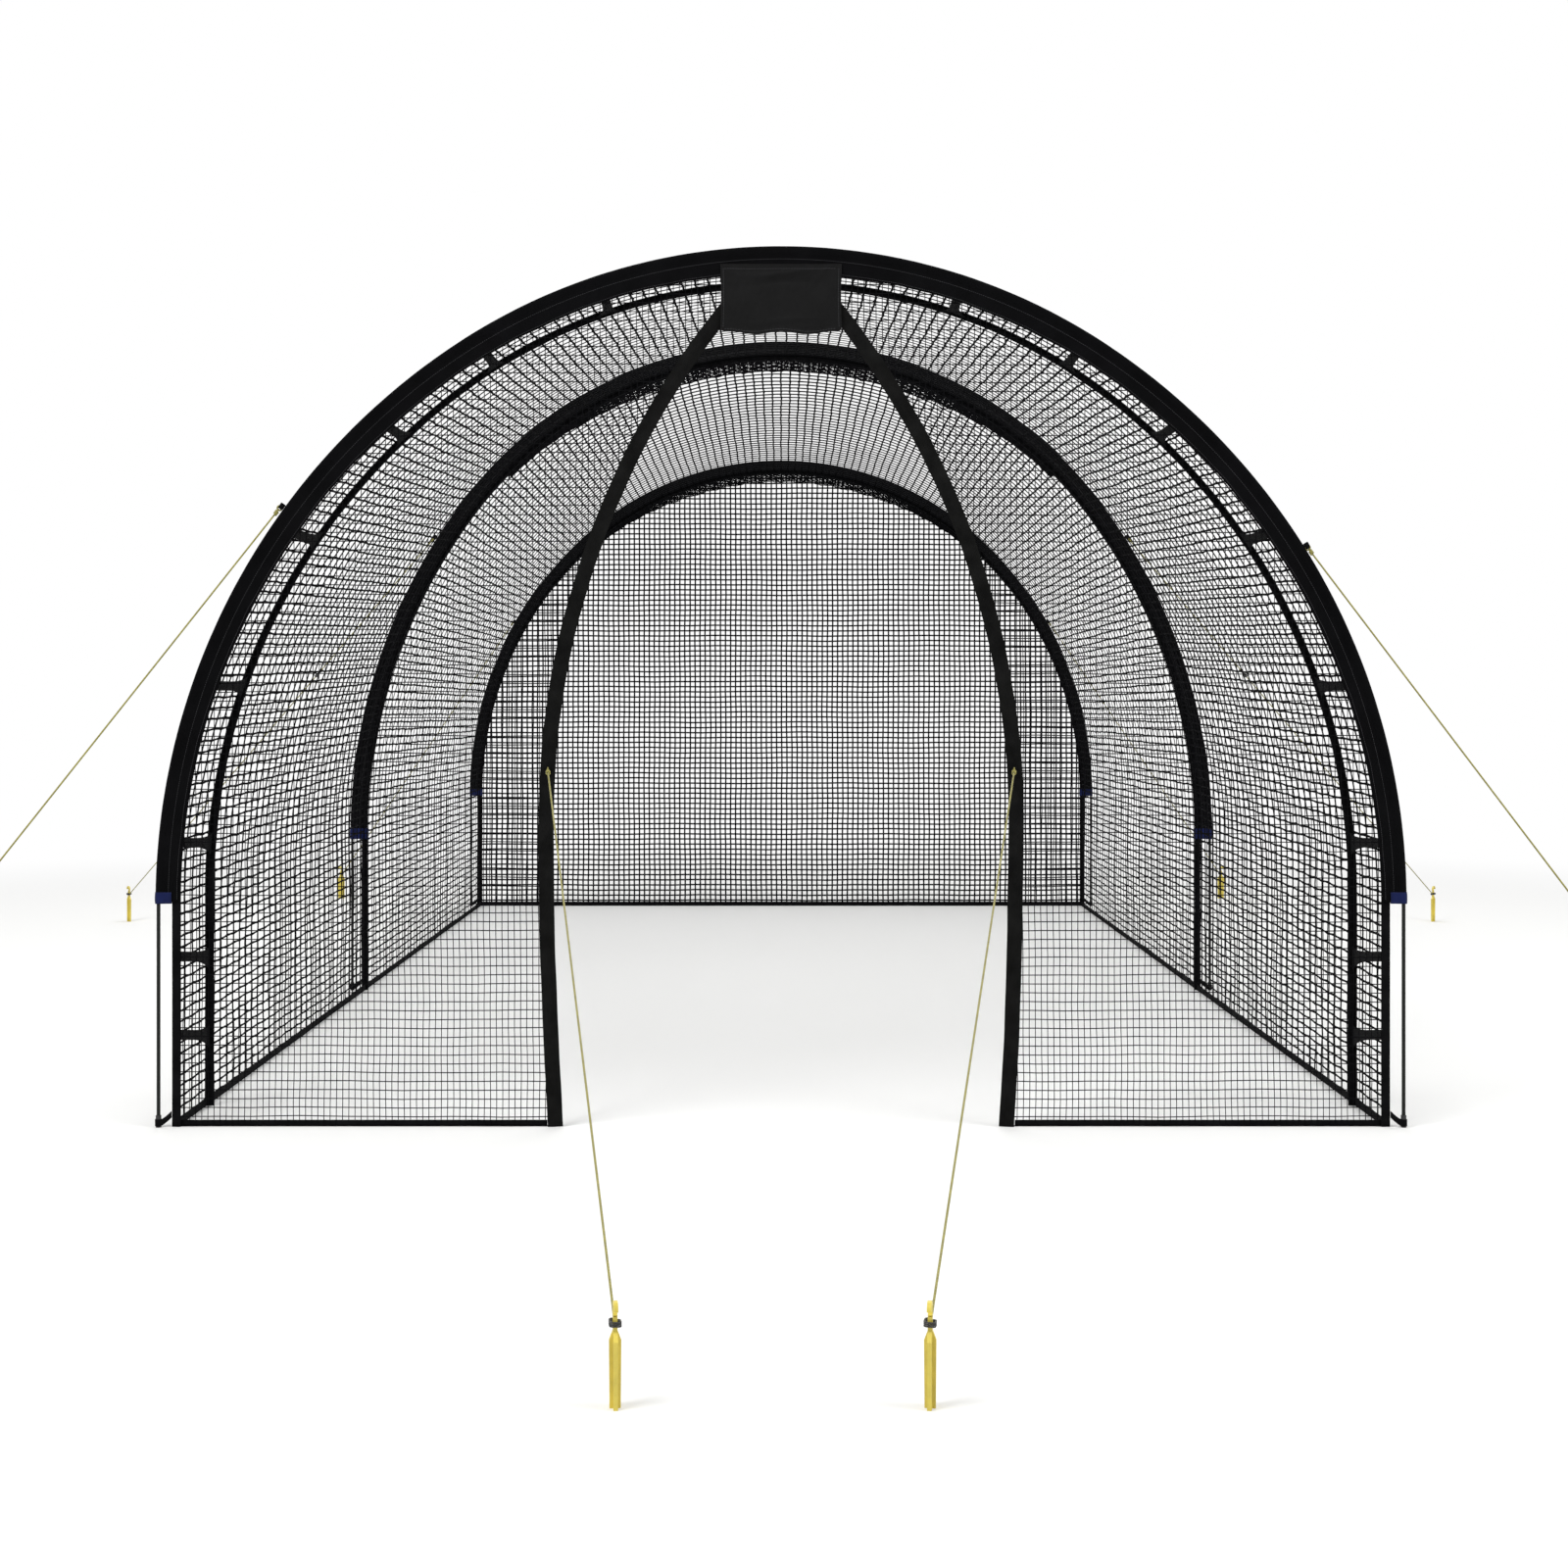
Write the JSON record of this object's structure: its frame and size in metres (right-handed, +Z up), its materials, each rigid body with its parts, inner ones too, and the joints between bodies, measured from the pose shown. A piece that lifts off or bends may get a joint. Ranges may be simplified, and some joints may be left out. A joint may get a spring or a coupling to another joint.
{
  "type": "golf practice net",
  "caption": "Walk-in tunnel cage of netting on bent poles, with an arched doorway, held upright by guy ropes and pegs.",
  "frame": {"origin": "on the ground at the middle of the cage", "axes": "+Z up, +Y from the doorway to the back wall, +X to the right for someone who looks in at the doorway"},
  "size_m": [7.225, 9.8136, 2.7649],
  "materials": {
    "pole": "satin",
    "ferrule": "brushed",
    "sleeve": "matt woven",
    "band": "matt woven",
    "cap": "matt",
    "tape": "ribbed webbing",
    "net": "knotted twine",
    "rope": "braided",
    "peg": "moulded",
    "slider": "moulded"
  },
  "bodies": {
    "cage": {"front_leg_poles": "pole", "middle_leg_poles": "pole", "back_leg_poles": "pole", "front_poles": "pole", "middle_poles": "pole", "back_poles": "pole", "front_ferrules": "ferrule", "middle_ferrules": "ferrule", "back_ferrules": "ferrule", "front_sleeve": "sleeve", "middle_sleeve": "sleeve", "back_sleeve": "sleeve", "end_bands": "band", "foot_caps": "cap", "corner_straps": "tape", "front_edge_tape": "tape", "middle_edge_tape": "tape", "back_edge_tape": "tape", "front_bay_net": "net", "rear_bay_net": "net", "back_net": "net", "left_front_net": "net", "right_front_net": "net", "middle_gather": "net", "back_gather": "net", "ring_tape": "tape", "ring_tabs": "tape", "left_ground_tape": "tape", "right_ground_tape": "tape", "back_ground_tape": "tape", "left_front_ground_tape": "tape", "right_front_ground_tape": "tape", "left_door_tape": "tape", "right_door_tape": "tape", "header_panel": "sleeve", "guy_loops": "tape", "left_front_guy": "rope", "right_front_guy": "rope", "left_middle_guy": "rope", "right_middle_guy": "rope", "left_back_guy": "rope", "right_back_guy": "rope", "left_door_guy": "rope", "right_door_guy": "rope", "left_front_peg": "peg", "right_front_peg": "peg", "left_middle_peg": "peg", "right_middle_peg": "peg", "left_back_peg": "peg", "right_back_peg": "peg", "left_door_peg": "peg", "right_door_peg": "peg"},
    "left_slider": {"left_slider": "slider"},
    "right_slider": {"right_slider": "slider"}
  },
  "joints": [
    {"name": "left_slider_slide", "type": "slide", "parent": "cage", "child": "left_slider", "axis": [-0.5356, 0.7141, -0.4507], "range_m": [-0.5, 0.5]},
    {"name": "right_slider_slide", "type": "slide", "parent": "cage", "child": "right_slider", "axis": [0.5356, 0.7141, -0.4507], "range_m": [-0.5, 0.5]}
  ]
}
